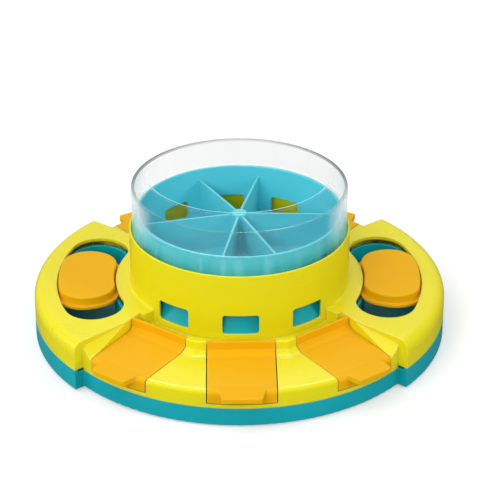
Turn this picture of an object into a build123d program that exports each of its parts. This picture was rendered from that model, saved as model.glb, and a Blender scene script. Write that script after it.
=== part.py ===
"""Round puzzle feeder for dogs: tray, turret cover, food drum, flaps and sliders.

Frame: millimetres, +Z up, the feet stand on z = 0 and the turret's axis is the Z axis.
The front is -Y, and the two wings with their sliders lie along -X and +X.
"""
import os
from math import atan2, cos, degrees, hypot, radians, sin, tan

from build123d import *

os.makedirs("parts", exist_ok=True)

# ---- Outline, seen from above --------------------------------------------------------
WING_RADIUS = 140.0            # outline of the two wings
SECTOR_SET_BACK = 7.0          # the front and back, where the flaps are, lie this far inside it
WING_HALF_ANGLE = 39.5         # half of each wing's arc
WALL = 2.5                     # wall of the tray and of the cover
CLEARANCE = 0.3                # between pieces that lie beside each other

# ---- Tray ----------------------------------------------------------------------------
FOOT_DROP = 1.0                # how far the feet stand below the tray
FLOOR = 2.5
SECTOR_SPLIT = 13.6            # height of the seam between tray and cover
WING_SPLIT = 15.6
TRAY_EDGE_ROUND = 0.8
BIN_WALL = 2.0
BIN_RIM_DROP = 0.4             # the pockets' rims end this far below the cover
POCKET_CORNER = 5.0
POCKET_INSET = 2.5             # a pocket is this much narrower than its cut-out, each side
POCKET_LEDGE = 1.2             # a slider's pocket is this much smaller than its slot

# ---- Feet ----------------------------------------------------------------------------
FOOT_COUNT = 6
FOOT_SET_BACK = 20.0           # from the wings' outline
FOOT_RADIUS = 7.0
FOOT_RECESS = 1.0

# ---- Cover: decks and ridge -----------------------------------------------------------
DECK = 2.5
SECTOR_DECK_OUTER = 25.8       # top of the front and back decks at their rim
SECTOR_DECK_INNER = 28.5       # and at the ridge
SECTOR_EDGE_ROUND = 3.0
WING_DECK_OUTER = 35.6
WING_DECK_INNER = 36.6
WING_EDGE_ROUND = 8.0
RIDGE_TOP = 36.9
RIDGE_OUT = 14.6               # the ridge's outer face, from the turret's wall
RIDGE_THICK = 5.0
RIDGE_COVE = 2.5               # width and height of the slope between the ridge and the deck
RIDGE_COVE_ROUND = 8.0
RIDGE_COVE_REACH = 6.0         # where its rounding has run out, from the ridge's face
RIDGE_ROUND = 0.8
TROUGH_FLOOR = 28.6
WING_END_WALL = 6.5            # wall of a wing's end, beside the flaps
STEP_OUTER_TOP = 31.0          # top of the slope below a wing's end, at the outline
STEP_INNER_TOP = 36.3          # and at the ridge
STEP_SLOPE = 40.0              # how steeply it falls away from the wing's end
STEP_LAP = 1.0                 # its hold in the wing's end

# ---- Cover: turret ---------------------------------------------------------------------
TURRET_BORE = 72.9
TURRET_WALL = 1.6
TURRET_TOP = 76.3
TURRET_FOOT_ROUND = 1.8        # cove between the turret and a wing
WINDOW_BOTTOM = 33.5
WINDOW_TOP = 47.3
WINDOW_WIDTH = 24.0
WINDOW_CORNER = 2.0
WINDOW_PITCH = 36.6            # angle from one window to the next
LEDGE_TOP = 69.7               # the clear cup stands on this ledge
LEDGE_THICK = 2.0
LEDGE_REACH = 2.5
LIP_FLAT = 0.1                 # flat left on top of a rounded lip

# ---- Flaps -----------------------------------------------------------------------------
FRONT_PITCH = 37.2             # angle from one flap to the next, along the front
BACK_PITCH = 32.6              # and along the back
FLAP_WIDTH = 44.2
FLAP_THICK = 2.2
FLAP_GAP = 0.6                 # beside the flap, in its cut-out
FLAP_SKIRT_BOTTOM = 17.2
FLAP_LIP_TOP = 16.2            # what is left of the cover's wall below a flap
FLAP_OVERHANG = 0.4            # the skirt stands this far outside the cover's wall
TAB_ROOT_WIDTH = 32.0
TAB_TIP_WIDTH = 25.6
TAB_SET_BACK = 6.0             # the tab leaves the plate this far inside the outline
TAB_OUT = 8.6                  # and stands this far out of it
TAB_ROUND = 2.0
TAB_EDGE_ROUND = 0.6
TAB_TOP = 26.2
TAB_THICK = 3.8
HINGE_SET_BACK = 2.5           # the hinge line lies this far behind the ridge's face
HINGE_HEIGHT = 32.0
PIN_RADIUS = 1.6
PIN_LENGTH = 1.7
PIN_CLEARANCE = 0.08
BARREL_RADIUS = 2.4

# ---- Slots and sliders -------------------------------------------------------------------
SLOT_FROM_TURRET = 10.0
SLOT_FROM_RIM = 15.5
SLOT_HALF_ANGLE = 32.0
SLOT_ROUNDING = 0.48           # corner radius, as a share of the slot's width
BUTTON_GAP = 1.1
BUTTON_HALF_ANGLE = 18.4
BUTTON_TOP = 38.7
BUTTON_ROUND = 0.9
FLANGE_THICK = 2.0
FLANGE_LAP = 2.5               # how far the flange reaches under the deck
FLANGE_END = 2.0               # how far it stands out at the slider's ends

# ---- Chute and spindle ---------------------------------------------------------------------
CHUTE_RIM = 32.8               # foot of the chute, just below the windows
CHUTE_TOP = 50.0
CHUTE_RUN = 10.6               # how far the chute reaches inwards as it climbs
CHUTE_WALL = 2.2
BOSS_RADIUS = 8.0
BOSS_TOP = 53.0
SPINDLE_RADIUS = 4.0
SPINDLE_DEPTH = 12.0           # length held in the boss
RUNNING_CLEARANCE = 0.08

# ---- Food drum -------------------------------------------------------------------------------
DRUM_WALL = 2.0
DRUM_RIM = 87.9
DRUM_GAP = 1.3                 # between the drum's rim and the cup's ledge
DRUM_TAPER = 3.6               # the bore is this much smaller at the floor, in radius
DRUM_FOOT_ROUND = 1.0
DRUM_FLOOR_ROUND = 1.5
DRUM_FLOOR = 54.5
DRUM_FLOOR_RISE = 7.0          # the floor is a low cone
DRUM_TURN = -6.0               # the drum's own front, against the turret's
DIVIDER_ANGLES = (-24.0, 12.0, 84.0, 156.0, 192.0, 264.0)
DIVIDER_THICK = 1.6
DIVIDER_OUTER_TOP = 80.0
DIVIDER_INNER_TOP = 84.6
DRUM_WINDOW_TOP = 66.4
DRUM_WINDOW_WIDTH = 22.0
HUB_RADIUS = 5.6
HUB_TOP = 83.0                 # the cap sits on the hub here
CAP_TOP = 85.6
CAP_ROUND = 1.6
CAP_STEM = 4.0                 # the cap's stem reaches this far into the hub

# ---- Clear cup ---------------------------------------------------------------------------------
CUP_FIT = 0.5                  # between the cup and the turret's bore
CUP_WALL = 2.2
CUP_TOP = 107.0
CUP_SHELF = 2.0                # the part floor over the drum's front half
CUP_SHELF_GAP = 0.6            # above the drum's rim
FILL_INSET = 7.7               # the round cut in that floor is this much smaller than the cup
FILL_CENTRE = 53.8

# ---- Screws ---------------------------------------------------------------------------------------
SCREW_SET_BACK = 17.0          # from the front and back outline
SECTOR_SCREW_ANGLE = 18.6      # from the front or back line
WING_SCREW_ANGLE = 36.6        # from the wings' line
SCREW_RADIUS = 1.25
SCREW_LENGTH = 16.0
SCREW_HEAD_RADIUS = 2.8
SCREW_HEAD = 2.0
SCREW_HEAD_SEAT = 7.0
SCREW_BOSS_RADIUS = 4.4
PILLAR_RADIUS = 3.4

# ---- What follows from those --------------------------------------------------------------------
SECTOR_RADIUS = WING_RADIUS - SECTOR_SET_BACK
BEYOND = 2 * WING_RADIUS       # past every piece, for the far side of a cutting block
FOOT_CIRCLE = WING_RADIUS - FOOT_SET_BACK
SCREW_CIRCLE = SECTOR_RADIUS - SCREW_SET_BACK
TRAY_BOTTOM = FOOT_DROP
TRAY_FLOOR = TRAY_BOTTOM + FLOOR
RIB_BOTTOM = TRAY_BOTTOM + FLOOR / 2   # walls on the tray's floor start inside it
TURRET_RADIUS = TURRET_BORE + TURRET_WALL
LEDGE_BORE = TURRET_BORE - LEDGE_REACH
CUP_RADIUS = TURRET_BORE - CUP_FIT
FILL_RADIUS = CUP_RADIUS - FILL_INSET
CHUTE_RADIUS = TURRET_BORE - CLEARANCE
DRUM_BORE_TOP = LEDGE_BORE - DRUM_GAP - DRUM_WALL
DRUM_BORE_FLOOR = DRUM_BORE_TOP - DRUM_TAPER
RIDGE_FACE = TURRET_RADIUS + RIDGE_OUT
RIDGE_BACK = RIDGE_FACE - RIDGE_THICK
HINGE_RADIUS = RIDGE_FACE - HINGE_SET_BACK
TAB_REACH = SECTOR_RADIUS + TAB_OUT
SLOT_INNER = TURRET_RADIUS + SLOT_FROM_TURRET
SLOT_OUTER = WING_RADIUS - SLOT_FROM_RIM
SLOT_MIDDLE = (SLOT_INNER + SLOT_OUTER) / 2
SLOT_CORNER = SLOT_ROUNDING * (SLOT_OUTER - SLOT_INNER)
BUTTON_CORNER = SLOT_CORNER - BUTTON_GAP
SECTOR_UNDERSIDE = SECTOR_DECK_OUTER - DECK
BIN_TOP = SECTOR_UNDERSIDE - BIN_RIM_DROP
FLANGE_TOP = WING_DECK_OUTER - DECK - CLEARANCE
FLANGE_BOTTOM = FLANGE_TOP - FLANGE_THICK
WING_BIN_TOP = FLANGE_BOTTOM - BIN_RIM_DROP
FLAP_BACK = RIDGE_FACE - FLAP_THICK
FLAPS = [(-90 + step * FRONT_PITCH, FRONT_PITCH) for step in (-1, 0, 1)]
FLAPS += [(90 + step * BACK_PITCH, BACK_PITCH) for step in (-1, 0, 1)]
FLAP_ANGLES = [angle for angle, _ in FLAPS]
WINDOW_ANGLES = [side + step * WINDOW_PITCH for side in (-90, 90) for step in (-1, 0, 1)]
CUT_HALF_WIDTH = FLAP_WIDTH / 2 + FLAP_GAP
POCKET_HALF_WIDTH = CUT_HALF_WIDTH - POCKET_INSET
TAB_ROOT = SECTOR_RADIUS - TAB_SET_BACK
SPINDLE_TOP = HUB_TOP - CAP_STEM
SCREW_ANGLES = [side + turn for side in (-90, 90) for turn in (-SECTOR_SCREW_ANGLE, SECTOR_SCREW_ANGLE)]
SCREW_ANGLES += [side + turn for side in (0, 180) for turn in (-WING_SCREW_ANGLE, WING_SCREW_ANGLE)]


# ---- Shape helpers -----------------------------------------------------------------------------
def outline(*corners):
    """A flat face from (x, y, rounding) corners."""
    points = [(x, y) for x, y, _ in corners]
    rounds = [rounding for _, _, rounding in corners]
    return make_face(FilletPolyline(*points, radius=rounds, close=True))


def turned(*corners):
    """A body turned about Z from (radius, height, rounding) corners."""
    return revolve(Plane.XZ * outline(*corners), Axis.Z)


def at_angle(angle):
    return Rot(0, 0, angle)


def block(x_range, y_range, z_range):
    """A box from its ranges along X, Y and Z."""
    (x0, x1), (y0, y1), (z0, z1) = x_range, y_range, z_range
    return Pos((x0 + x1) / 2, (y0 + y1) / 2, (z0 + z1) / 2) * Box(x1 - x0, y1 - y0, z1 - z0)


def rod(radius, bottom, top, x=0.0, y=0.0):
    """An upright cylinder."""
    return Pos(x, y, (bottom + top) / 2) * Cylinder(radius, top - bottom)


def slab(face, bottom, top):
    return Pos(0, 0, bottom) * extrude(face, top - bottom)


def wedge(half_angle, inset, bottom, top):
    """A wedge about +X, its two faces drawn in by inset."""
    apex = inset / sin(radians(half_angle))
    side = BEYOND * tan(radians(half_angle))
    corners = ((apex, 0), (apex + BEYOND, side), (apex + BEYOND, -side))
    return slab(make_face(Polyline(*corners, close=True)), bottom, top)


def both_wings(solid):
    """The solid on the +X wing, and its like on the -X wing."""
    return [solid, at_angle(180) * solid]


def polar(radius, angle):
    return radius * cos(radians(angle)), radius * sin(radians(angle))


def kidney(inner, outer, half_angle, corner):
    """A face along an arc about Z, centred on +X, with rounded corners."""
    edges = (
        ThreePointArc(polar(outer, -half_angle), (outer, 0), polar(outer, half_angle))
        + Line(polar(outer, half_angle), polar(inner, half_angle))
        + ThreePointArc(polar(inner, half_angle), (inner, 0), polar(inner, -half_angle))
        + Line(polar(inner, -half_angle), polar(outer, -half_angle))
    )
    face = make_face(edges)
    return fillet(face.vertices(), corner)


def footprint(inset, bottom, top):
    """The whole outline as a slab, its walls drawn in by inset."""
    body = rod(SECTOR_RADIUS - inset, bottom, top)
    disc = rod(WING_RADIUS - inset, bottom, top)
    for wing in both_wings(disc & wedge(WING_HALF_ANGLE, inset, bottom, top)):
        body += wing
    return body


# ---- Tray ---------------------------------------------------------------------------------------
def pocket_void():
    """The space under a flap, about +X."""
    corners = (
        (RIDGE_FACE + BIN_WALL, -POCKET_HALF_WIDTH, POCKET_CORNER),
        (BEYOND, -POCKET_HALF_WIDTH, 0),
        (BEYOND, POCKET_HALF_WIDTH, 0),
        (RIDGE_FACE + BIN_WALL, POCKET_HALF_WIDTH, POCKET_CORNER),
    )
    prism = slab(outline(*corners), TRAY_FLOOR, BIN_TOP)
    return prism & rod(SECTOR_RADIUS - WALL, TRAY_FLOOR, BIN_TOP)


def pocket_walls():
    """The three walls round that space."""
    half = POCKET_HALF_WIDTH + BIN_WALL
    corners = (
        (RIDGE_FACE, -half, POCKET_CORNER + BIN_WALL),
        (BEYOND, -half, 0),
        (BEYOND, half, 0),
        (RIDGE_FACE, half, POCKET_CORNER + BIN_WALL),
    )
    prism = slab(outline(*corners), RIB_BOTTOM, BIN_TOP)
    return prism & rod(SECTOR_RADIUS - WALL - CLEARANCE, RIB_BOTTOM, BIN_TOP)


def wing_pocket(growth, bottom, top):
    """The kidney-shaped pocket of the +X wing, grown outwards by growth."""
    end = SLOT_HALF_ANGLE + degrees((growth - POCKET_LEDGE) / SLOT_MIDDLE)
    face = kidney(
        SLOT_INNER + POCKET_LEDGE - growth,
        SLOT_OUTER - POCKET_LEDGE + growth,
        end,
        SLOT_CORNER - POCKET_LEDGE + growth,
    )
    return slab(face, bottom, top)


def chute():
    """The hollow stand under the drum; its steep side sends the food out of the windows."""
    inside = CHUTE_RADIUS - CHUTE_WALL
    cone = turned(
        (0, CHUTE_TOP, 0),
        (CHUTE_RADIUS - CHUTE_RUN, CHUTE_TOP, 0),
        (CHUTE_RADIUS, CHUTE_RIM, 0),
        (CHUTE_RADIUS, RIB_BOTTOM, 0),
        (inside, RIB_BOTTOM, 0),
        (inside, CHUTE_RIM - CHUTE_WALL / 2, 0),
        (inside - CHUTE_RUN, CHUTE_TOP - CHUTE_WALL, 0),
        (0, CHUTE_TOP - CHUTE_WALL, 0),
    )
    boss = rod(BOSS_RADIUS, RIB_BOTTOM, BOSS_TOP)
    bore = rod(SPINDLE_RADIUS, BOSS_TOP - SPINDLE_DEPTH, BOSS_TOP)
    return cone + boss - bore


def base_tray():
    body = footprint(0, TRAY_BOTTOM, SECTOR_SPLIT)
    body = fillet(body.faces().sort_by(Axis.Z)[0].edges(), TRAY_EDGE_ROUND)
    body -= footprint(WALL, TRAY_FLOOR, SECTOR_SPLIT)
    rim = rod(WING_RADIUS, SECTOR_SPLIT, WING_SPLIT) - rod(WING_RADIUS - WALL, SECTOR_SPLIT, WING_SPLIT)
    for wall in both_wings(rim & wedge(WING_HALF_ANGLE, 0, SECTOR_SPLIT, WING_SPLIT)):
        body += wall
    for angle in FLAP_ANGLES:
        body += at_angle(angle) * pocket_walls()
    for walls in both_wings(wing_pocket(BIN_WALL, RIB_BOTTOM, WING_BIN_TOP)):
        body += walls
    body += chute()
    for angle in FLAP_ANGLES:
        body -= at_angle(angle) * pocket_void()
    for void in both_wings(wing_pocket(0, TRAY_FLOOR, WING_BIN_TOP)):
        body -= void
    for angle in SCREW_ANGLES:
        x, y = polar(SCREW_CIRCLE, angle)
        body += rod(SCREW_BOSS_RADIUS, RIB_BOTTOM, SECTOR_SPLIT, x, y)
    for angle in SCREW_ANGLES:
        x, y = polar(SCREW_CIRCLE, angle)
        body -= rod(SCREW_HEAD_RADIUS + CLEARANCE, TRAY_BOTTOM, SCREW_HEAD_SEAT, x, y)
        body -= rod(SCREW_RADIUS + CLEARANCE, SCREW_HEAD_SEAT, SECTOR_SPLIT, x, y)
    for angle in foot_angles():
        x, y = polar(FOOT_CIRCLE, angle)
        body -= rod(FOOT_RADIUS, TRAY_BOTTOM, TRAY_BOTTOM + FOOT_RECESS, x, y)
    return body


def foot_angles():
    return [index * 360 / FOOT_COUNT for index in range(FOOT_COUNT)]


def rubber_foot(angle):
    x, y = polar(FOOT_CIRCLE, angle)
    return rod(FOOT_RADIUS, 0, TRAY_BOTTOM + FOOT_RECESS, x, y)


# ---- Cover --------------------------------------------------------------------------------------
def sector_deck():
    """The lower deck all round, as a filled ring."""
    return turned(
        (TURRET_BORE, SECTOR_SPLIT, 0),
        (SECTOR_RADIUS, SECTOR_SPLIT, 0),
        (SECTOR_RADIUS, SECTOR_DECK_OUTER, SECTOR_EDGE_ROUND),
        (RIDGE_FACE, SECTOR_DECK_INNER, 0),
        (RIDGE_FACE - RIDGE_THICK / 2, TROUGH_FLOOR, 0),
        (TURRET_BORE, TROUGH_FLOOR, 0),
    )


def sector_void():
    return turned(
        (TURRET_RADIUS, SECTOR_SPLIT, 0),
        (SECTOR_RADIUS - WALL, SECTOR_SPLIT, 0),
        (SECTOR_RADIUS - WALL, SECTOR_DECK_OUTER - DECK, SECTOR_EDGE_ROUND - WALL),
        (RIDGE_FACE, SECTOR_DECK_INNER - DECK, 0),
        (TURRET_RADIUS, SECTOR_DECK_INNER - DECK, 0),
    )


def wing_deck():
    """The higher deck of the wings, as a filled ring with its cove to the turret."""
    return turned(
        (TURRET_BORE, WING_SPLIT, 0),
        (WING_RADIUS, WING_SPLIT, 0),
        (WING_RADIUS, WING_DECK_OUTER, WING_EDGE_ROUND),
        (TURRET_RADIUS, WING_DECK_INNER, TURRET_FOOT_ROUND),
        (TURRET_RADIUS, WINDOW_TOP, 0),
        (TURRET_BORE, WINDOW_TOP, 0),
    )


def wing_void():
    return turned(
        (TURRET_RADIUS, SECTOR_SPLIT, 0),
        (WING_RADIUS - WALL, SECTOR_SPLIT, 0),
        (WING_RADIUS - WALL, WING_DECK_OUTER - DECK, WING_EDGE_ROUND - WALL),
        (TURRET_RADIUS, WING_DECK_INNER - DECK, 0),
    )


def turret():
    lip = (TURRET_WALL - LIP_FLAT) / 2
    wall = turned(
        (TURRET_BORE, SECTOR_DECK_INNER - DECK, 0),
        (TURRET_RADIUS, SECTOR_DECK_INNER - DECK, 0),
        (TURRET_RADIUS, TURRET_TOP, lip),
        (TURRET_BORE, TURRET_TOP, lip),
    )
    ledge = turned(
        (LEDGE_BORE, LEDGE_TOP - LEDGE_THICK, 0),
        (TURRET_BORE + TURRET_WALL / 2, LEDGE_TOP - LEDGE_THICK, 0),
        (TURRET_BORE + TURRET_WALL / 2, LEDGE_TOP, 0),
        (LEDGE_BORE, LEDGE_TOP, 0),
    )
    return wall + ledge


def window(width, bottom, top, inner, outer):
    """A rounded opening that runs outwards along +X."""
    start = Plane(origin=(inner, 0, (bottom + top) / 2), x_dir=(0, 1, 0), z_dir=(1, 0, 0))
    return extrude(start * RectangleRounded(width, top - bottom, WINDOW_CORNER), outer - inner)


def ridge_profile(back, thickness):
    """The ridge's section, or a flap's band, with the slope that runs out on the deck."""
    reach = RIDGE_FACE + RIDGE_COVE_REACH
    return outline(
        (back, SECTOR_DECK_INNER - thickness, 0),
        (RIDGE_FACE, SECTOR_DECK_INNER - thickness, 0),
        (reach, deck_height(reach) - thickness, 0),
        (reach, deck_height(reach), 0),
        (RIDGE_FACE + RIDGE_COVE, deck_height(RIDGE_FACE + RIDGE_COVE), RIDGE_COVE_ROUND),
        (RIDGE_FACE, SECTOR_DECK_INNER + RIDGE_COVE, 0),
        (RIDGE_FACE, RIDGE_TOP, RIDGE_ROUND),
        (back, RIDGE_TOP, RIDGE_ROUND),
    )


def ridge_piece(pitch):
    """The stretch of ridge before one flap, cut at the mitres to its neighbours."""
    bar = extrude(Plane.XZ * ridge_profile(RIDGE_BACK, DECK), RIDGE_FACE, both=True)
    return bar & wedge(pitch / 2, 0, 0, TURRET_TOP)


def step_slope():
    """The slope along a wing's end, in a frame with X along that end and Y away from the wing."""
    run = SECTOR_RADIUS - RIDGE_FACE
    ring = turned(
        (RIDGE_FACE, SECTOR_DECK_OUTER - DECK, 0),
        (SECTOR_RADIUS, SECTOR_DECK_OUTER - DECK, 0),
        (SECTOR_RADIUS, STEP_OUTER_TOP, SECTOR_EDGE_ROUND),
        (RIDGE_FACE, STEP_INNER_TOP, 0),
    )
    depth = STEP_INNER_TOP
    section = make_face(Polyline(
        (-STEP_LAP, -depth),
        (-STEP_LAP, 0),
        (0, 0),
        (depth / tan(radians(STEP_SLOPE)), -depth),
        close=True,
    ))
    fall = degrees(atan2(STEP_INNER_TOP - STEP_OUTER_TOP, run))
    bar = extrude(Plane.YZ * section, 2 * run, both=True)
    return ring & (Pos(RIDGE_FACE, 0, STEP_INNER_TOP) * Rot(0, fall, 0) * bar)


def at_steps(solid):
    """The solid at the four ends of the wings."""
    other = mirror(solid, about=Plane.XZ)
    placed = [at_angle(turn + WING_HALF_ANGLE) * solid for turn in (0, 180)]
    return placed + [at_angle(turn - WING_HALF_ANGLE) * other for turn in (0, 180)]


def deck_height(radius):
    """Height of the lower deck's top at a radius."""
    share = (radius - RIDGE_FACE) / (SECTOR_RADIUS - RIDGE_FACE)
    return SECTOR_DECK_INNER + share * (SECTOR_DECK_OUTER - SECTOR_DECK_INNER)


def flap_cut():
    """What a flap's cut-out takes from the cover."""
    sides = (-CUT_HALF_WIDTH, CUT_HALF_WIDTH)
    swing = hypot(RIDGE_FACE - HINGE_RADIUS, RIDGE_TOP - HINGE_HEIGHT) + FLAP_GAP
    hinge_bay = block((HINGE_RADIUS - swing, RIDGE_FACE), sides, (TROUGH_FLOOR, TURRET_TOP))
    opening = block((FLAP_BACK - FLAP_GAP, BEYOND), sides, (FLAP_LIP_TOP, TURRET_TOP))
    return hinge_bay + opening


def hinge_holes():
    """The two blind holes for a flap's pins."""
    length = 2 * (CUT_HALF_WIDTH + PIN_LENGTH)
    bore = Cylinder(PIN_RADIUS + PIN_CLEARANCE, length)
    return Pos(HINGE_RADIUS, 0, HINGE_HEIGHT) * Rot(90, 0, 0) * bore


def top_cover():
    body = sector_deck()
    filled = wing_deck() & wedge(WING_HALF_ANGLE, 0, WING_SPLIT, TURRET_TOP)
    for angle, pitch in FLAPS:
        body += at_angle(angle) * ridge_piece(pitch)
    for clear in both_wings(wedge(WING_HALF_ANGLE, 0, SECTOR_SPLIT, TURRET_TOP)):
        body -= clear
    for slope in at_steps(step_slope()):
        body += slope
    for wing in both_wings(filled):
        body += wing
    body += turret()
    body -= sector_void()
    hollow = wing_void() & wedge(WING_HALF_ANGLE, WING_END_WALL, SECTOR_SPLIT, TURRET_TOP)
    slot = slab(kidney(SLOT_INNER, SLOT_OUTER, SLOT_HALF_ANGLE, SLOT_CORNER), WING_SPLIT, TURRET_TOP)
    for cut in both_wings(hollow) + both_wings(slot):
        body -= cut
    body -= rod(TURRET_BORE, SECTOR_SPLIT, LEDGE_TOP - LEDGE_THICK)
    for angle in SCREW_ANGLES:
        x, y = polar(SCREW_CIRCLE, angle)
        body += rod(PILLAR_RADIUS, SECTOR_SPLIT, SECTOR_DECK_OUTER, x, y)
    for angle in FLAP_ANGLES:
        body -= at_angle(angle) * (flap_cut() + hinge_holes())
    for angle in WINDOW_ANGLES:
        body -= at_angle(angle) * window(
            WINDOW_WIDTH, WINDOW_BOTTOM, WINDOW_TOP, LEDGE_BORE, TURRET_RADIUS + TURRET_FOOT_ROUND
        )
    for angle in SCREW_ANGLES:
        x, y = polar(SCREW_CIRCLE, angle)
        body -= rod(SCREW_RADIUS + PIN_CLEARANCE, SECTOR_SPLIT, SCREW_HEAD_SEAT + SCREW_LENGTH, x, y)
    return body


def cover_screw(angle):
    """A pan-head screw that comes up through the tray."""
    x, y = polar(SCREW_CIRCLE, angle)
    head = rod(SCREW_HEAD_RADIUS, SCREW_HEAD_SEAT - SCREW_HEAD, SCREW_HEAD_SEAT, x, y)
    shank = rod(SCREW_RADIUS, SCREW_HEAD_SEAT, SCREW_HEAD_SEAT + SCREW_LENGTH - CLEARANCE, x, y)
    return head + shank


# ---- Flap ---------------------------------------------------------------------------------------
def flap():
    """One flap about +X: band, plate, skirt, pull tab and hinge barrel with its pins."""
    half = FLAP_WIDTH / 2
    skirt = SECTOR_RADIUS + FLAP_OVERHANG
    shell = turned(
        (RIDGE_BACK, SECTOR_DECK_INNER - FLAP_THICK, 0),
        (RIDGE_FACE, SECTOR_DECK_INNER - FLAP_THICK, 0),
        (skirt - FLAP_THICK, SECTOR_DECK_OUTER - FLAP_THICK, SECTOR_EDGE_ROUND - FLAP_THICK),
        (skirt - FLAP_THICK, FLAP_SKIRT_BOTTOM, 0),
        (skirt, FLAP_SKIRT_BOTTOM, 0),
        (skirt, SECTOR_DECK_OUTER, SECTOR_EDGE_ROUND),
        (RIDGE_FACE, SECTOR_DECK_INNER, 0),
        (RIDGE_BACK, SECTOR_DECK_INNER, 0),
    )
    body = shell & block((FLAP_BACK, BEYOND), (-half, half), (0, RIDGE_TOP))
    body += extrude(Plane.XZ * ridge_profile(FLAP_BACK, FLAP_THICK), half, both=True)
    tab = outline(
        (TAB_ROOT, -TAB_ROOT_WIDTH / 2, 0),
        (TAB_REACH, -TAB_TIP_WIDTH / 2, TAB_ROUND),
        (TAB_REACH, TAB_TIP_WIDTH / 2, TAB_ROUND),
        (TAB_ROOT, TAB_ROOT_WIDTH / 2, 0),
    )
    side = outline(
        (TAB_ROOT, deck_height(TAB_ROOT) - FLAP_THICK, 0),
        (skirt, TAB_TOP - TAB_THICK, 0),
        (TAB_REACH, TAB_TOP - TAB_THICK, TAB_EDGE_ROUND),
        (TAB_REACH, TAB_TOP, TAB_EDGE_ROUND),
        (TAB_ROOT, deck_height(TAB_ROOT), 0),
    )
    body += extrude(Plane.XZ * side, half, both=True) & slab(tab, 0, RIDGE_TOP)
    hinge = Pos(HINGE_RADIUS, 0, HINGE_HEIGHT) * Rot(90, 0, 0)
    body += hinge * Cylinder(BARREL_RADIUS, FLAP_WIDTH)
    body += hinge * Cylinder(PIN_RADIUS, FLAP_WIDTH + 2 * (FLAP_GAP + PIN_LENGTH - CLEARANCE))
    return body


# ---- Slider -------------------------------------------------------------------------------------
def slider():
    """The slider of the +X wing: a raised button on a flange that runs under the deck."""
    face = kidney(SLOT_INNER + BUTTON_GAP, SLOT_OUTER - BUTTON_GAP, BUTTON_HALF_ANGLE, BUTTON_CORNER)
    button = slab(face, FLANGE_TOP, BUTTON_TOP)
    button = fillet(button.faces().sort_by(Axis.Z)[-1].edges(), BUTTON_ROUND)
    flange_end = BUTTON_HALF_ANGLE + degrees(FLANGE_END / SLOT_MIDDLE)
    flange = slab(
        kidney(SLOT_INNER - FLANGE_LAP, SLOT_OUTER + FLANGE_LAP, flange_end, BUTTON_CORNER + FLANGE_LAP),
        FLANGE_BOTTOM,
        FLANGE_TOP,
    )
    hollow = slab(
        kidney(
            SLOT_INNER + BUTTON_GAP + FLANGE_THICK,
            SLOT_OUTER - BUTTON_GAP - FLANGE_THICK,
            BUTTON_HALF_ANGLE - degrees(FLANGE_THICK / SLOT_MIDDLE),
            BUTTON_CORNER - FLANGE_THICK,
        ),
        FLANGE_BOTTOM,
        BUTTON_TOP - FLANGE_THICK,
    )
    return button + flange - hollow


# ---- Drum ---------------------------------------------------------------------------------------
def floor_height(radius):
    """Height of the drum's floor at a radius."""
    return DRUM_FLOOR + DRUM_FLOOR_RISE * (1 - radius / DRUM_BORE_FLOOR)


def divider(angle):
    """One upright divider from the hub to the wall, its top sloping down outwards."""
    reach = DRUM_BORE_FLOOR + DRUM_WALL / 2
    drop = DRUM_WALL / 2
    profile = make_face(Polyline(
        (0, floor_height(0) - drop),
        (reach, floor_height(reach) - drop),
        (reach + wall_lean(DIVIDER_OUTER_TOP), DIVIDER_OUTER_TOP),
        (HUB_RADIUS / 2, DIVIDER_INNER_TOP),
        (0, DIVIDER_INNER_TOP),
        close=True,
    ))
    return at_angle(90 - angle) * extrude(Plane.XZ * profile, DIVIDER_THICK / 2, both=True)


def wall_lean(height):
    """How far the drum's wall leans out at a height."""
    return (DRUM_BORE_TOP - DRUM_BORE_FLOOR) * (height - DRUM_FLOOR) / (DRUM_RIM - DRUM_FLOOR)


def food_drum():
    lip = (DRUM_WALL - LIP_FLAT) / 2
    body = turned(
        (0, floor_height(0) - DRUM_WALL, 0),
        (DRUM_BORE_FLOOR + DRUM_WALL, DRUM_FLOOR - DRUM_WALL, DRUM_FOOT_ROUND),
        (DRUM_BORE_TOP + DRUM_WALL, DRUM_RIM, lip),
        (DRUM_BORE_TOP, DRUM_RIM, lip),
        (DRUM_BORE_FLOOR, DRUM_FLOOR, DRUM_FLOOR_ROUND),
        (0, floor_height(0), 0),
    )
    for angle in DIVIDER_ANGLES:
        body += divider(angle)
    body += rod(HUB_RADIUS, BOSS_TOP + CLEARANCE, HUB_TOP)
    body -= rod(HUB_RADIUS, HUB_TOP, DIVIDER_INNER_TOP)
    for angle in WINDOW_ANGLES:
        body -= at_angle(angle - DRUM_TURN) * window(
            DRUM_WINDOW_WIDTH, DRUM_FLOOR, DRUM_WINDOW_TOP, DRUM_BORE_FLOOR - DRUM_WALL, TURRET_BORE
        )
    body -= rod(SPINDLE_RADIUS + RUNNING_CLEARANCE, BOSS_TOP, HUB_TOP)
    return body


def hub_cap():
    """The low round cap that closes the hub's bore."""
    stem = rod(SPINDLE_RADIUS, SPINDLE_TOP + CLEARANCE, HUB_TOP)
    head = rod(HUB_RADIUS, HUB_TOP, CAP_TOP)
    head = fillet(head.faces().sort_by(Axis.Z)[-1].edges(), CAP_ROUND)
    return stem + head


def drum_spindle():
    return rod(SPINDLE_RADIUS, BOSS_TOP - SPINDLE_DEPTH, SPINDLE_TOP)


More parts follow.
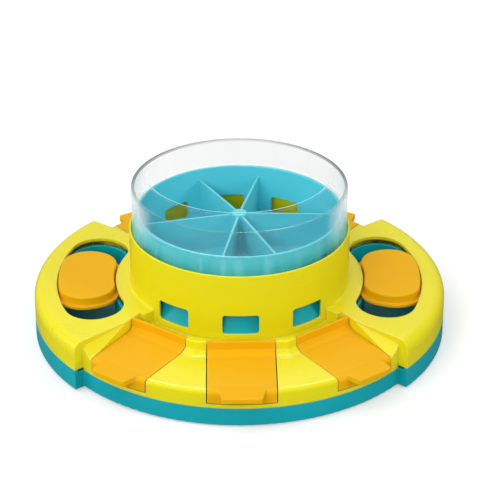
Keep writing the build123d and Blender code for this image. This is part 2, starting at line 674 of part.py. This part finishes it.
# ---- Clear cup ------------------------------------------------------------------------------------
def clear_cup():
    """A clear ring with a part floor over the drum's front, open at the back for filling."""
    lip = (CUP_WALL - LIP_FLAT) / 2
    wall = turned(
        (CUP_RADIUS - CUP_WALL, LEDGE_TOP, 0),
        (CUP_RADIUS, LEDGE_TOP, 0),
        (CUP_RADIUS, CUP_TOP, lip),
        (CUP_RADIUS - CUP_WALL, CUP_TOP, lip),
    )
    bottom = DRUM_RIM + CUP_SHELF_GAP
    shelf = rod(CUP_RADIUS - CUP_WALL / 2, bottom, bottom + CUP_SHELF)
    shelf -= rod(FILL_RADIUS, bottom, bottom + CUP_SHELF, 0, FILL_CENTRE)
    return wall + shelf


# ---- Write every piece --------------------------------------------------------------------------
def save(name, solid):
    export_step(solid, f"parts/{name}.step")


def main():
    save("base_tray", base_tray())
    save("top_cover", top_cover())
    for number, angle in enumerate(FLAP_ANGLES, start=1):
        save(f"flap_{number}", at_angle(angle) * flap())
    for name, angle in (("slider_right", 0), ("slider_left", 180)):
        save(name, at_angle(angle) * slider())
    save("food_drum", food_drum())
    save("hub_cap", hub_cap())
    save("drum_spindle", drum_spindle())
    save("clear_cup", clear_cup())
    for number, angle in enumerate(SCREW_ANGLES, start=1):
        save(f"cover_screw_{number}", cover_screw(angle))
    for number, angle in enumerate(foot_angles(), start=1):
        save(f"rubber_foot_{number}", rubber_foot(angle))


main()
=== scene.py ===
"""Studio scene of the round puzzle feeder for dogs.

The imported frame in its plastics, on a white floor, under soft lamps, seen by the photograph's camera.
Lengths are metres and angles degrees. The turret's axis is Z, and the front faces -Y.
"""
from math import cos, radians, sin
from types import SimpleNamespace
from typing import NamedTuple

import bpy
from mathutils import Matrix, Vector

class Pattern(NamedTuple):
    """A noise over a piece: how dense and fine it is, and which of its values are used."""

    per_metre: float               # features along a metre
    used: tuple = (0.3, 0.7)       # nearly all values lie in here
    detail: float = 3.0
    stretch: tuple = ()            # how many times denser it is along each axis
    turn: tuple = (0.0, 0.0, 0.0)  # radians, after the stretch


class Relief(NamedTuple):
    """How strongly a pattern's heights show in the light."""

    strength: float
    height: float                  # metres, for a pattern's value of 1


# ---- The photograph's view ------------------------------------------------------------------
PICTURE_SIDE = 480             # pixels, square
VIEW_BACK = 1.2002             # camera to turret axis, along the floor
VIEW_HEIGHT = 0.6945
VIEW_PITCH = 27.71             # below the horizontal
VIEW_AZIMUTH = -0.75           # a little to the left of straight in front
VIEW_END = 50.0                # nothing beyond is drawn
FOCAL_PIXELS = 2000.0
CENTRE_PIXEL = 239.4           # column that the lens's axis meets
SENSOR = 36.0                  # millimetres

# ---- Moulded plastic ------------------------------------------------------------------------
DRIFT = Pattern(16.0, (0.35, 0.65))    # slow drift of the colour
DRIFT_SHARE = 0.3
SPECKLE = Pattern(1300.0, detail=2.0)
SPECKLE_SHARE = 0.03
EDGE_HIGHLIGHT_BREAKUP = Pattern(60.0, (0.35, 0.7))   # how strongly each stretch of an edge takes its painted highlight
EDGE_HIGHLIGHT_SHARES = (0.45, 1.0)
SCUFFS = Pattern(30.0, (0.62, 0.7), 4.0, (1.0, 34.0, 34.0), (0.2, 0.35, 0.6))
SCUFF_ROUGHNESS = 0.1
SCUFF_DEPTH = 0.5              # in heights of the grain
GLOSS_PATCHES = Pattern(24.0)
GLOSS_RANGE = (-0.04, 0.05)    # added to a piece's roughness
GRAIN = Pattern(2600.0, detail=2.0)
WAVES = Pattern(70.0, detail=1.0)
WAVE_HEIGHT = 6.0              # in heights of the grain
PLASTIC_RELIEF = Relief(0.35, 0.00002)
PLASTIC_IOR = 1.49
PLASTIC_SPECULAR = 0.5         # as strong a mirror as the IOR makes it
EDGE_RADIUS = 0.0009           # how wide the moulded edges are rounded and carry a painted highlight
THIN_EDGE_RADIUS = 0.0005      # and those of the drum's thin walls
EDGE_SAMPLES = 4
EDGE_COSINES = (0.8, 0.995)    # between the true and the rounded normal, on an edge and off it
GLOW_REACH = (0.004, 0.003, 0.0006)    # how far red, green and blue light spreads inside the plastic

# ---- Clear plastic: the cup, and what is seen through it ------------------------------------
SHELF_FOOT = 0.0885            # heights of the cup's part floor, just over the drum
SHELF_TOP = 0.0905
SHELF_CUT_CENTRE = (0.0, 0.0538, (SHELF_FOOT + SHELF_TOP) / 2)     # the round cut in it
SHELF_CUT_RADIUS = 0.0647
CUT_GLINT_WIDTH = (0.0006, 0.001)        # distances from the cut between which its painted highlight line fades
LEVEL_TOLERANCE = 0.0001
LOW_WALL_FADE = 0.005          # height over which the low wall's look fades under the part floor
RIM_HEIGHT = 0.0014            # of the rim's rounding
RIM_FADE = 0.0002              # to either side of its foot, where the rim's look sets in
FRONT_TO_BACK = (-0.04, 0.01)  # along Y, where the front's look turns into the back's
CLEAR_FACE = (0.975, 0.98, 0.98, 1.0)      # what passes a face seen square on
CLEAR_ABOVE = (0.925, 0.927, 0.927, 1.0)   # and on the back wall above the drum, greyer: painted shade
CLEAR_SIDE = (0.8, 0.8, 0.81, 1.0)     # and edge-on, greyer: painted shade
RIM_BEHIND = (0.72, 0.72, 0.72, 1.0)   # and through the rim at its back, grey: painted shade
RIM_BESIDE = (0.28, 0.28, 0.29, 1.0)   # and at its sides, darkest: painted shade
RIM_AHEAD = (0.96, 0.96, 0.96, 1.0)    # and at its front: painted, nearly clear
PAINTED_WHITE_ABOVE = (0.6, 0.61, 0.61, 1.0)   # painted white that the wall above the part floor shows, standing in for light
PAINTED_DRUM_TEAL = (0.3, 0.6, 0.6, 1.0)    # and elsewhere painted teal, standing in for the drum's colour bent into view
EDGE_ON_POWER = 5.0            # how late a face turns from its square-on look to its edge-on one
SQUARE_ON_MIRROR = 0.04        # shares that the clear plastic mirrors: of a face seen square on
EDGE_ON_MIRROR = 0.4           # added to that edge-on
EDGE_MIRROR = 0.25             # and on the edges
WALL_PAINTED_FACING = (0.5, 0.8)         # how far edge-on the wall's painted light sets in, and is full
WALL_PAINTED_LIGHT = 0.5               # shares that are painted whitish: of the wall edge-on, painted light
SHELF_SHEEN_PLACE = (-0.01, -0.06)     # along Y, where the part floor's painted sheen sets in, and is full
SHELF_SHEEN = 0.05             # of the part floor's front, a painted sheen
PAINTED_STREAKS = 0.12              # of the painted light streaks in the low wall
EDGE_HIGHLIGHT_CLOUD = 0.3               # of the edges, a painted highlight
CUT_GLINT_CLOUD = 0.85          # of the painted glint along the part floor's cut
CLEAR_EDGE_RADIUS = 0.0006
FLOW = Pattern(150.0, (0.48, 0.66), stretch=(1.0, 1.0, 0.02))  # upright flow marks of the moulding, which also place painted light streaks
FLOW_SHARES = (0.15, 0.6)      # of the mirrored light, off a flow mark and on it
PAINTED_STREAKS_FROM = (0.2, 0.6)   # on that scale, where a painted light streak sets in, and is full
SCRATCHES = Pattern(34.0, (0.64, 0.7), 4.0, (1.0, 40.0, 40.0), (0.5, 0.2, 0.9))
SCRATCH_ROUGHNESS = 0.08
SCRATCH_DEPTH = 0.03           # in heights of the ripples
HAZE = Pattern(26.0, (0.35, 0.75))
HAZE_ROUGHNESS = (0.04, 0.1)
RIPPLES = Pattern(45.0, detail=1.0)
CLEAR_RELIEF = Relief(0.3, 0.00005)

# ---- Steel and rubber -----------------------------------------------------------------------
TURNING_MARKS = Pattern(900.0, detail=2.0, stretch=(1.0, 1.0, 14.0))
BLOOM = Pattern(180.0)         # darker patches of the plating
STEEL_ROUGHNESS = (0.22, 0.42)
STEEL_RELIEF = Relief(0.3, 0.00002)
TOOTH = Pattern(2400.0)        # fine surface of the rubber
DUST = Pattern(140.0, (0.45, 0.75), 5.0)
DUST_SHARE = 0.5
RUBBER_ROUGHNESS = (0.7, 0.86)
RUBBER_RELIEF = Relief(0.5, 0.00005)

# ---- Floor and light ------------------------------------------------------------------------
FLOOR_SIDE = 8.0
FLOOR_WHITE = (0.74, 0.74, 0.74, 1.0)  # as the camera sees it
FLOOR_GREY = (0.5, 0.5, 0.51, 1.0)     # what the floor throws back onto the object
FLOOR_MIRRORED = (0.15, 0.15, 0.15, 1.0)   # and how it shows in the object's reflections
FLOOR_GLOW = 0.32              # what the camera sees added, so that the floor runs into white
SKY_WHITE = (1.0, 1.0, 1.0, 1.0)
SKY_DIRECTION = (-0.3, 0.35, 0.89)     # towards the brightest part of the sky
SKY_COSINES = (-0.5, 1.0)      # from that direction, where the sky is darkest and brightest
SKY_LEVELS = (0.15, 0.9)       # how bright it is there
LAMP_TARGET = (0.0, 0.0, 0.04)


def srgb(red, green, blue):
    """A colour given in the picture's 0 to 255 values, as Blender's linear one."""
    linear = []
    for value in (red, green, blue):
        share = value / 255
        linear.append(share / 12.92 if share <= 0.04045 else ((share + 0.055) / 1.055) ** 2.4)
    return (*linear, 1.0)


# ---- Node helpers ---------------------------------------------------------------------------
MIX_COLOURS = (6, 7)           # a Mix node's inputs for two colours
MIX_RESULT = 2                 # and its output for one


class Nodes:
    """A material's node tree, with short calls to add and join nodes."""

    def __init__(self, tree):
        self.tree = tree
        tree.nodes.clear()

    def add(self, kind, settings=None, **inputs):
        """A node with its settings, and with a value or a link on each named input."""
        node = self.tree.nodes.new(kind)
        for name, value in (settings or {}).items():
            setattr(node, name, value)
        for name, value in inputs.items():
            self.feed(node.inputs[name.replace("_", " ")], value)
        return node

    def feed(self, socket, value):
        if isinstance(value, bpy.types.NodeSocket):
            self.tree.links.new(value, socket)
        else:
            socket.default_value = value

    def feed_all(self, node, *values):
        """Feeds the node's first inputs, in their order."""
        for index, value in enumerate(values):
            self.feed(node.inputs[index], value)

    def maths(self, operation, *values):
        node = self.add("ShaderNodeMath", {"operation": operation})
        self.feed_all(node, *values)
        return node.outputs[0]

    def times(self, first, second):
        return self.maths("MULTIPLY", first, second)

    def plus(self, first, second):
        return self.maths("ADD", first, second)

    def minus(self, first, second):
        return self.maths("SUBTRACT", first, second)

    def vector_maths(self, operation, first, second):
        """The one number that comes of two vectors, such as their distance."""
        node = self.add("ShaderNodeVectorMath", {"operation": operation})
        self.feed_all(node, first, second)
        return node.outputs["Value"]

    def spread(self, value, over, onto=(0.0, 1.0)):
        """value, where it runs over one range, spread onto another, and held at its ends."""
        node = self.add("ShaderNodeMapRange", {"clamp": True})
        self.feed_all(node, value, *over, *onto)
        return node.outputs[0]

    def blend(self, share, first, second):
        """Colour first, turning into second as share goes from 0 to 1."""
        node = self.add("ShaderNodeMix", {"data_type": "RGBA", "clamp_factor": True}, Factor=share)
        for index, colour in zip(MIX_COLOURS, (first, second)):
            self.feed(node.inputs[index], colour)
        return node.outputs[MIX_RESULT]

    def place(self):
        """Where a point is: a CAD node's own coordinates are the frame's."""
        return self.add("ShaderNodeTexCoord").outputs["Object"]

    def noise(self, pattern):
        """The pattern's plain values."""
        place = self.place()
        if pattern.stretch:
            place = self.add(
                "ShaderNodeMapping", Vector=place, Scale=pattern.stretch, Rotation=pattern.turn
            ).outputs["Vector"]
        node = self.add("ShaderNodeTexNoise", Vector=place, Scale=pattern.per_metre, Detail=pattern.detail)
        return node.outputs["Fac"]

    def graded(self, pattern, onto=(0.0, 1.0)):
        """The pattern's used values, spread onto a range."""
        return self.spread(self.noise(pattern), pattern.used, onto)

    def bump(self, relief, height, **normal):
        node = self.add(
            "ShaderNodeBump", Strength=relief.strength, Distance=relief.height, Height=height, **normal
        )
        return node.outputs["Normal"]

    def shader(self, kind, **inputs):
        return self.add(kind, **inputs).outputs[0]

    def add_shaders(self, first, second):
        node = self.add("ShaderNodeAddShader")
        self.feed_all(node, first, second)
        return node.outputs[0]

    def mix_shaders(self, share, first, second):
        """Shader first, turning into second as share goes from 0 to 1."""
        node = self.add("ShaderNodeMixShader")
        self.feed_all(node, share, first, second)
        return node.outputs[0]

    def surface(self, shader):
        self.add("ShaderNodeOutputMaterial", Surface=shader)


def new_material(name):
    material = bpy.data.materials.new(name)
    material.use_nodes = True
    return material, Nodes(material.node_tree)


# ---- Moulded plastic ------------------------------------------------------------------------
def rounded_edges(nodes, radius):
    """The softened normal of the moulded edges, and a mask that is 1 on them, for their painted highlight.
    """
    rounded = nodes.add("ShaderNodeBevel", {"samples": EDGE_SAMPLES}, Radius=radius).outputs["Normal"]
    facing = nodes.add("ShaderNodeNewGeometry").outputs["Normal"]
    agreement = nodes.vector_maths("DOT_PRODUCT", rounded, facing)
    return rounded, nodes.spread(agreement, EDGE_COSINES, (1.0, 0.0))


def plastic_tone(nodes, colour, deep, light, edges):
    """The moulded colour with its drift towards deep, a fine light speckle and a painted highlight on the
    edges.
    """
    tone = nodes.blend(nodes.times(nodes.graded(DRIFT), DRIFT_SHARE), colour, deep)
    tone = nodes.blend(nodes.graded(SPECKLE, (0.0, SPECKLE_SHARE)), tone, light)
    # Painted highlight: in random stretches, the edges turn towards the light colour.
    return nodes.blend(nodes.times(edges, nodes.graded(EDGE_HIGHLIGHT_BREAKUP, EDGE_HIGHLIGHT_SHARES)), tone, light)


def plastic_relief(nodes, scuffs, softened):
    """The normal with the mould's grain, broad waves and scuffs."""
    height = nodes.plus(nodes.noise(GRAIN), nodes.times(nodes.noise(WAVES), WAVE_HEIGHT))
    height = nodes.minus(height, nodes.times(scuffs, SCUFF_DEPTH))
    return nodes.bump(PLASTIC_RELIEF, height, Normal=softened)


def moulded_plastic(
    name, colour, deep, light, roughness, specular=PLASTIC_SPECULAR, edge_radius=EDGE_RADIUS, glow=0.0
):
    """Injection-moulded plastic: colour that drifts to deep, painted highlights on the edges, grain and
    scuffs.

    glow is the share of light that spreads inside it.
    """
    material, nodes = new_material(name)
    softened, edges = rounded_edges(nodes, edge_radius)
    scuffs = nodes.graded(SCUFFS)
    patches = nodes.graded(GLOSS_PATCHES, [roughness + change for change in GLOSS_RANGE])
    shader = nodes.shader(
        "ShaderNodeBsdfPrincipled",
        Base_Color=plastic_tone(nodes, colour, deep, light, edges),
        Roughness=nodes.plus(patches, nodes.times(scuffs, SCUFF_ROUGHNESS)),
        Normal=plastic_relief(nodes, scuffs, softened),
        IOR=PLASTIC_IOR,
        Specular_IOR_Level=specular,
        Subsurface_Weight=glow,
        Subsurface_Radius=GLOW_REACH,
        Subsurface_Scale=1.0,
    )
    nodes.surface(shader)
    return material


def tray_teal():
    return moulded_plastic(
        "tray_teal",
        colour=srgb(4, 168, 180),
        deep=srgb(3, 158, 171),
        light=srgb(90, 212, 220),
        roughness=0.32,
        specular=0.3,
    )


def cover_yellow():
    """The cover's yellow, which glows a little from within."""
    return moulded_plastic(
        "cover_yellow",
        colour=srgb(232, 221, 3),
        deep=srgb(227, 214, 2),
        light=srgb(255, 252, 170),
        roughness=0.3,
        specular=0.28,
        glow=0.15,
    )


def flap_orange():
    """The orange of flaps and sliders, duller than the rest."""
    return moulded_plastic(
        "flap_orange",
        colour=srgb(234, 176, 8),
        deep=srgb(231, 167, 6),
        light=srgb(255, 212, 96),
        roughness=0.46,
        specular=0.05,
    )


def drum_teal():
    return moulded_plastic(
        "drum_teal",
        colour=srgb(88, 206, 221),
        deep=srgb(76, 197, 213),
        light=srgb(150, 232, 242),
        roughness=0.34,
        edge_radius=THIN_EDGE_RADIUS,
    )


def spindle_plastic():
    return moulded_plastic(
        "spindle_plastic",
        colour=srgb(232, 232, 228),
        deep=srgb(220, 220, 216),
        light=srgb(245, 245, 242),
        roughness=0.35,
    )


# ---- Clear plastic --------------------------------------------------------------------------
def painted_cut_glint(nodes, place, height):
    """1 on a painted highlight line along the part floor's round cut, on its top face."""
    from_centre = nodes.vector_maths("DISTANCE", place, SHELF_CUT_CENTRE)
    off_cut = nodes.maths("ABSOLUTE", nodes.minus(from_centre, SHELF_CUT_RADIUS))
    line = nodes.spread(off_cut, CUT_GLINT_WIDTH, (1.0, 0.0))
    line = nodes.times(line, nodes.maths("LESS_THAN", height, SHELF_TOP + LEVEL_TOLERANCE))
    return nodes.times(line, nodes.maths("GREATER_THAN", height, SHELF_TOP - LEVEL_TOLERANCE))


def cup_masks(nodes, cup):
    """Masks from 0 to 1 over the clear cup, by place and by the way that its surface faces."""
    corners = [Vector(corner) for corner in cup.bound_box]
    reach = max(corner.x for corner in corners)
    rim_foot = max(corner.z for corner in corners) - RIM_HEIGHT
    place = nodes.place()
    along = nodes.add("ShaderNodeSeparateXYZ", Vector=place).outputs
    normal = nodes.add("ShaderNodeNewGeometry").outputs["Normal"]
    facing_up = nodes.add("ShaderNodeSeparateXYZ", Vector=normal).outputs["Z"]
    edge_on = nodes.add("ShaderNodeLayerWeight").outputs["Facing"]
    level = nodes.maths("ABSOLUTE", facing_up)
    upright = nodes.minus(1.0, level)
    low = nodes.spread(along["Z"], (SHELF_FOOT - LOW_WALL_FADE, SHELF_FOOT), (1.0, 0.0))
    forward = nodes.spread(along["Y"], SHELF_SHEEN_PLACE)
    return SimpleNamespace(
        edge_on=edge_on,
        edge_on_late=nodes.maths("POWER", edge_on, EDGE_ON_POWER),
        upright=upright,
        low=low,
        high_wall=nodes.times(nodes.minus(1.0, low), upright),
        level_front=nodes.times(forward, level),
        behind=nodes.spread(along["Y"], FRONT_TO_BACK),
        beside=nodes.maths("DIVIDE", nodes.times(along["X"], along["X"]), reach ** 2),
        rim=nodes.spread(along["Z"], (rim_foot - RIM_FADE, rim_foot + RIM_FADE)),
        cut_glint=painted_cut_glint(nodes, place, along["Z"]),
    )


def clear_tint(nodes, masks):
    """What passes through, tinted with painted shade: nearly all, less edge-on, and least through the
    sides of the rim.
    """
    face = nodes.blend(nodes.times(masks.high_wall, masks.behind), CLEAR_FACE, CLEAR_ABOVE)
    face = nodes.blend(masks.edge_on_late, face, CLEAR_SIDE)
    # Painted shade: the rim is grey at its back, darkest at its sides and nearly clear at its front.
    rim = nodes.blend(masks.behind, RIM_AHEAD, nodes.blend(masks.beside, RIM_BEHIND, RIM_BESIDE))
    return nodes.blend(masks.rim, face, rim)


def painted_light_share(nodes, masks, flow, highlit_edges):
    """The painted share: it stands in for what the real cup's wall bends into view, and adds painted
    sheen, streaks, edge highlights and a glint.
    """
    # Painted light on the walls seen edge-on.
    wall = nodes.times(nodes.spread(masks.edge_on, WALL_PAINTED_FACING, (0.0, WALL_PAINTED_LIGHT)), masks.upright)
    # Painted sheen on the part floor's front.
    shelf = nodes.times(masks.level_front, SHELF_SHEEN)
    # Painted light streaks in the low wall, along the flow marks.
    marks = nodes.times(nodes.spread(flow, PAINTED_STREAKS_FROM, (0.0, PAINTED_STREAKS)), masks.low)
    painted_share = nodes.plus(nodes.plus(wall, shelf), marks)
    painted_share = nodes.plus(painted_share, nodes.times(highlit_edges, EDGE_HIGHLIGHT_CLOUD))
    # Painted glint along the part floor's cut.
    return nodes.maths("MAXIMUM", painted_share, nodes.times(masks.cut_glint, CUT_GLINT_CLOUD))


def clear_mirror(nodes, softened):
    """The glossy share's shader, with ripples, haze and hairline scratches."""
    scratches = nodes.graded(SCRATCHES)
    roughness = nodes.plus(nodes.graded(HAZE, HAZE_ROUGHNESS), nodes.times(scratches, SCRATCH_ROUGHNESS))
    height = nodes.minus(nodes.noise(RIPPLES), nodes.times(scratches, SCRATCH_DEPTH))
    normal = nodes.bump(CLEAR_RELIEF, height, Normal=softened)
    return nodes.shader("ShaderNodeBsdfGlossy", Roughness=roughness, Normal=normal)


def clear_plastic(cup):
    """Clear polycarbonate that lets light straight through, tinted with painted shade, with a painted
    whitish share and a mirrored one.
    """
    material, nodes = new_material("clear_plastic")
    masks = cup_masks(nodes, cup)
    flow = nodes.graded(FLOW, FLOW_SHARES)
    softened, edges = rounded_edges(nodes, CLEAR_EDGE_RADIUS)
    grey_rim = nodes.times(masks.rim, masks.behind)
    # Edges that get a painted highlight, all but the rim's back.
    highlit_edges = nodes.times(edges, nodes.minus(1.0, grey_rim))
    # Light on its way to what the cup shades is only tinted, so the cup's own shadow stays faint.
    seen = nodes.minus(1.0, nodes.add("ShaderNodeLightPath").outputs["Is Shadow Ray"])

    passes = nodes.shader("ShaderNodeBsdfTransparent", Color=clear_tint(nodes, masks))
    # Painted light: this share, lit by the lamps, is white above the part floor and drum teal elsewhere,
    # standing in for what the wall bends into view.
    painted_tone = nodes.blend(masks.high_wall, PAINTED_DRUM_TEAL, PAINTED_WHITE_ABOVE)
    painted_scatter = nodes.add_shaders(
        nodes.shader("ShaderNodeBsdfDiffuse", Color=painted_tone),
        nodes.shader("ShaderNodeBsdfTranslucent", Color=painted_tone),
    )
    painted_share = painted_light_share(nodes, masks, flow, highlit_edges)
    body = nodes.mix_shaders(nodes.times(painted_share, seen), passes, painted_scatter)

    mirrored = nodes.plus(nodes.times(masks.edge_on_late, EDGE_ON_MIRROR), SQUARE_ON_MIRROR)
    mirrored = nodes.plus(nodes.times(mirrored, flow), nodes.times(highlit_edges, EDGE_MIRROR))
    nodes.surface(nodes.mix_shaders(nodes.times(mirrored, seen), body, clear_mirror(nodes, softened)))
    return material


# ---- Steel and rubber -----------------------------------------------------------------------
def screw_steel():
    """Bright steel with turning marks and a darker bloom."""
    material, nodes = new_material("screw_steel")
    marks = nodes.noise(TURNING_MARKS)
    shader = nodes.shader(
        "ShaderNodeBsdfPrincipled",
        Base_Color=nodes.blend(nodes.graded(BLOOM), srgb(196, 198, 200), srgb(150, 152, 156)),
        Roughness=nodes.spread(marks, TURNING_MARKS.used, STEEL_ROUGHNESS),
        Normal=nodes.bump(STEEL_RELIEF, marks),
        Metallic=1.0,
    )
    nodes.surface(shader)
    return material


def foot_rubber():
    """Dull grey rubber with a fine tooth and dusty patches."""
    material, nodes = new_material("foot_rubber")
    tooth = nodes.noise(TOOTH)
    dust = nodes.graded(DUST, (0.0, DUST_SHARE))
    shader = nodes.shader(
        "ShaderNodeBsdfPrincipled",
        Base_Color=nodes.blend(dust, srgb(58, 60, 62), srgb(112, 112, 110)),
        Roughness=nodes.spread(tooth, TOOTH.used, RUBBER_ROUGHNESS),
        Normal=nodes.bump(RUBBER_RELIEF, tooth),
    )
    nodes.surface(shader)
    return material


# ---- The pieces -----------------------------------------------------------------------------
def dress(pieces, material, *names):
    """Gives the CAD nodes whose names start so the material."""
    for name, piece in pieces.items():
        if name.startswith(names):
            for slot in piece.material_slots:
                slot.material = material


def dress_all(pieces):
    dress(pieces, tray_teal(), "base_tray")
    dress(pieces, cover_yellow(), "top_cover")
    dress(pieces, flap_orange(), "flap_", "slider_")
    dress(pieces, drum_teal(), "food_drum", "hub_cap")
    dress(pieces, spindle_plastic(), "drum_spindle")
    dress(pieces, clear_plastic(pieces["clear_cup"]), "clear_cup")
    dress(pieces, screw_steel(), "cover_screw_")
    dress(pieces, foot_rubber(), "rubber_foot_")


# ---- Floor, light and camera ----------------------------------------------------------------
def seen_directly(nodes):
    """1 for what the camera sees itself or through something clear."""
    return nodes.add("ShaderNodeLightPath").outputs["Is Camera Ray"]


def white_floor():
    """A white table that keeps the object's shadow and runs into the white behind it."""
    mesh = bpy.data.meshes.new("studio_floor")
    half = FLOOR_SIDE / 2
    corners = [(-half, -half, 0), (half, -half, 0), (half, half, 0), (-half, half, 0)]
    mesh.from_pydata(corners, [], [(0, 1, 2, 3)])
    floor = bpy.data.objects.new("studio_floor", mesh)
    bpy.context.scene.collection.objects.link(floor)
    material, nodes = new_material("floor_white")
    seen = seen_directly(nodes)
    mirrored = nodes.add("ShaderNodeLightPath").outputs["Is Glossy Ray"]
    indirect = nodes.blend(mirrored, FLOOR_GREY, FLOOR_MIRRORED)
    matt = nodes.shader("ShaderNodeBsdfDiffuse", Color=nodes.blend(seen, indirect, FLOOR_WHITE))
    glow = nodes.shader("ShaderNodeEmission", Strength=nodes.times(seen, FLOOR_GLOW))
    nodes.surface(nodes.add_shaders(matt, glow))
    mesh.materials.append(material)


def white_sky():
    """White behind the object; as a light it is brightest high at the back, a little to the left."""
    world = bpy.data.worlds.new("studio_sky")
    world.use_nodes = True
    nodes = Nodes(world.node_tree)
    direction = nodes.add("ShaderNodeTexCoord").outputs["Generated"]
    towards = nodes.vector_maths("DOT_PRODUCT", direction, SKY_DIRECTION)
    glow = nodes.spread(towards, SKY_COSINES, SKY_LEVELS)
    strength = nodes.maths("MAXIMUM", glow, seen_directly(nodes))
    sky = nodes.shader("ShaderNodeBackground", Color=SKY_WHITE, Strength=strength)
    nodes.add("ShaderNodeOutputWorld", Surface=sky)
    bpy.context.scene.world = world


def softbox(name, place, size, watts, mirrored=True, lights=True):
    """A soft lamp that faces the object. It can light without being mirrored, or the reverse."""
    lamp = bpy.data.lights.new(name, "AREA")
    lamp.shape = "RECTANGLE"
    lamp.size, lamp.size_y = size
    lamp.energy = watts
    holder = bpy.data.objects.new(name, lamp)
    holder.location = place
    holder.visible_glossy = mirrored
    holder.visible_diffuse = lights
    aim = Vector(LAMP_TARGET) - Vector(place)
    holder.rotation_euler = aim.to_track_quat("-Z", "Y").to_euler()
    bpy.context.scene.collection.objects.link(holder)


def studio_light():
    """A key light at the upper left, help from front, left and right, and a lamp that is only mirrored."""
    softbox("key", place=(-1.5, -0.9, 2.6), size=(1.6, 1.6), watts=14.5)
    softbox("top", place=(0.0, 0.9, 1.9), size=(1.2, 1.0), watts=48.0, lights=False)
    softbox("front", place=(-0.8, -2.4, 1.4), size=(1.4, 0.8), watts=28.0, mirrored=False)
    softbox("side", place=(-2.4, 0.1, 0.9), size=(1.2, 0.8), watts=9.0)
    softbox("fill", place=(2.2, -1.2, 1.2), size=(1.2, 1.0), watts=19.0, mirrored=False)


def photo_camera():
    """The camera at the photograph's place, with its long lens."""
    lens = bpy.data.cameras.new("camera")
    lens.sensor_width = SENSOR
    lens.lens = SENSOR * FOCAL_PIXELS / PICTURE_SIDE
    lens.shift_x = (PICTURE_SIDE / 2 - CENTRE_PIXEL) / PICTURE_SIDE
    lens.clip_end = VIEW_END
    camera = bpy.data.objects.new("camera", lens)
    turn = radians(VIEW_AZIMUTH)
    camera.location = (VIEW_BACK * sin(turn), -VIEW_BACK * cos(turn), VIEW_HEIGHT)
    camera.rotation_euler = (radians(90 - VIEW_PITCH), 0.0, turn)
    bpy.context.scene.collection.objects.link(camera)
    bpy.context.scene.camera = camera


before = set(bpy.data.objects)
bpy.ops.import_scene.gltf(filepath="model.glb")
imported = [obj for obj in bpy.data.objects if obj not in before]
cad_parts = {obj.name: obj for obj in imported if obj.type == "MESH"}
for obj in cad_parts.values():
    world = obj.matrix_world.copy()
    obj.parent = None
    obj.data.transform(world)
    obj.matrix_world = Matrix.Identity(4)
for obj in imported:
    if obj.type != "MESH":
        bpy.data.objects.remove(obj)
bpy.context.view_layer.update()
dress_all(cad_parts)
white_floor()
white_sky()
studio_light()
photo_camera()
bpy.context.scene.view_settings.view_transform = "Standard"
